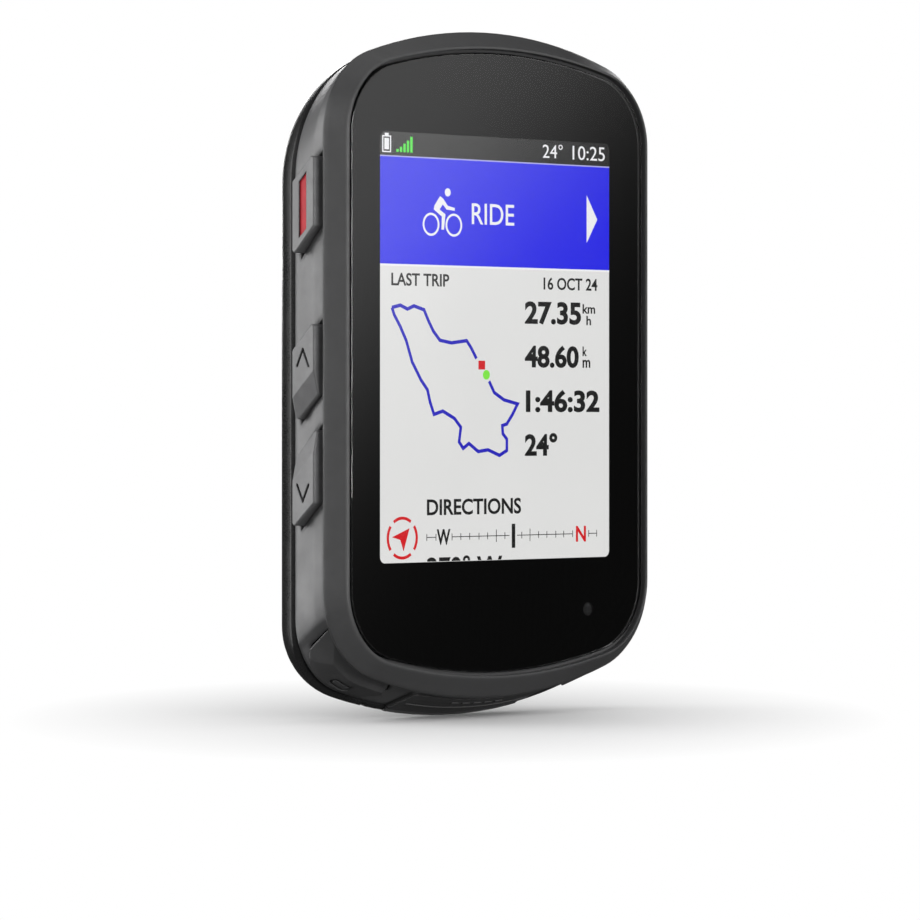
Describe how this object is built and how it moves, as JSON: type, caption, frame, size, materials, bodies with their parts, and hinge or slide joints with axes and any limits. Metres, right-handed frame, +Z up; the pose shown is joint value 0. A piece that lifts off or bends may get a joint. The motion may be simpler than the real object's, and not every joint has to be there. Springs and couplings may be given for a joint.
{
  "type": "cycling computer",
  "caption": "Handlebar cycling computer with an arched portrait screen, slanted side buttons, lower corner buttons, a port flap and a quarter-turn mount.",
  "frame": {"origin": "centre of the end face of the quarter-turn boss on the back", "axes": "+Z up along the screen, +Y out of the back along the mount axis, the screen faces -Y, +X to the right seen from the front"},
  "size_m": [0.0578, 0.0196, 0.0851],
  "materials": {
    "lens_glass": "clear chemically strengthened cover glass",
    "border_film": "black printed border behind the glass",
    "adhesive": "black foam tape",
    "bezel_plastic": "fine-textured dark grey plastic",
    "frame_plastic": "satin dark grey plastic",
    "case_plastic": "fine-textured black plastic",
    "seal_rubber": "silicone",
    "display_glass": "display cell",
    "backlight_frame": "white moulded light guide frame",
    "flex_film": "polyimide flex circuit",
    "sensor_window": "smoked sensor window",
    "chassis_steel": "stamped plate",
    "circuit_board": "solder mask",
    "shield_steel": "tinned shield",
    "antenna_ceramic": "sintered patch antenna",
    "battery_foil": "laminated pouch",
    "foam_pad": "open-cell foam",
    "connector_plastic": "moulded connector",
    "lead_plastic": "ribbon lead",
    "vent_membrane": "breathable membrane",
    "socket_steel": "drawn shell",
    "flap_rubber": "soft-touch rubber",
    "fastener_steel": "stainless",
    "mount_plastic": "glass-filled nylon",
    "switch_steel": "snap-dome switches",
    "red_inlay": "satin red",
    "button_rubber": "satin grey",
    "corner_button_rubber": "satin dark grey",
    "post_steel": "turned pin"
  },
  "bodies": {
    "housing": {"antenna_strap": "flex_film", "backlight": "backlight_frame", "battery": "battery_foil", "battery_lead": "lead_plastic", "battery_pad": "foam_pad", "battery_plug": "connector_plastic", "button_seals": "seal_rubber", "button_switches": "switch_steel", "buzzer": "connector_plastic", "case_screws": "fastener_steel", "case_seal": "seal_rubber", "chassis_plate": "chassis_steel", "cover_lens": "lens_glass", "display_flex": "flex_film", "display_panel": "display_glass", "front_bezel": "bezel_plastic", "gps_antenna": "antenna_ceramic", "lens_border_film": "border_film", "lens_tape": "adhesive", "light_sensor": "sensor_window", "main_board": "circuit_board", "mount_screws": "fastener_steel", "pressure_sensor": "shield_steel", "pressure_vent": "vent_membrane", "processor_shield": "shield_steel", "quarter_turn_mount": "mount_plastic", "radio_shield": "shield_steel", "rear_case": "case_plastic", "side_frame": "frame_plastic", "tether_bar": "fastener_steel", "usb_socket": "socket_steel"},
    "power_press": {"power_button": "button_rubber", "power_inlay": "red_inlay", "power_post": "post_steel"},
    "up_press": {"up_button": "button_rubber", "up_post": "post_steel"},
    "down_press": {"down_button": "button_rubber", "down_post": "post_steel"},
    "enter_press": {"enter_button": "button_rubber", "enter_post": "post_steel"},
    "back_press": {"back_button": "button_rubber", "back_post": "post_steel"},
    "lap_press": {"lap_button": "corner_button_rubber", "lap_post": "post_steel"},
    "start_press": {"start_button": "corner_button_rubber", "start_post": "post_steel"},
    "port_flap": {"usb_flap": "flap_rubber"}
  },
  "joints": [
    {"name": "power_travel", "type": "slide", "parent": "housing", "child": "power_press", "axis": [1, 0, 0], "range_m": [0, 0.00035], "stiffness_N_per_m": 600},
    {"name": "up_travel", "type": "slide", "parent": "housing", "child": "up_press", "axis": [1, 0, 0], "range_m": [0, 0.00035], "stiffness_N_per_m": 600},
    {"name": "down_travel", "type": "slide", "parent": "housing", "child": "down_press", "axis": [1, 0, 0], "range_m": [0, 0.00035], "stiffness_N_per_m": 600},
    {"name": "enter_travel", "type": "slide", "parent": "housing", "child": "enter_press", "axis": [-1, 0, 0], "range_m": [0, 0.00035], "stiffness_N_per_m": 600},
    {"name": "back_travel", "type": "slide", "parent": "housing", "child": "back_press", "axis": [-1, 0, 0], "range_m": [0, 0.00035], "stiffness_N_per_m": 600},
    {"name": "lap_travel", "type": "slide", "parent": "housing", "child": "lap_press", "axis": [0.7071, 0, 0.7071], "range_m": [0, 0.00035], "stiffness_N_per_m": 600},
    {"name": "start_travel", "type": "slide", "parent": "housing", "child": "start_press", "axis": [-0.7071, 0, 0.7071], "range_m": [0, 0.00035], "stiffness_N_per_m": 600},
    {"name": "flap_hinge", "type": "hinge", "parent": "housing", "child": "port_flap", "pos_m": [0.0005, -0.00935, -0.0427], "axis": [1, 0, 0], "range_deg": [0, 110]}
  ]
}
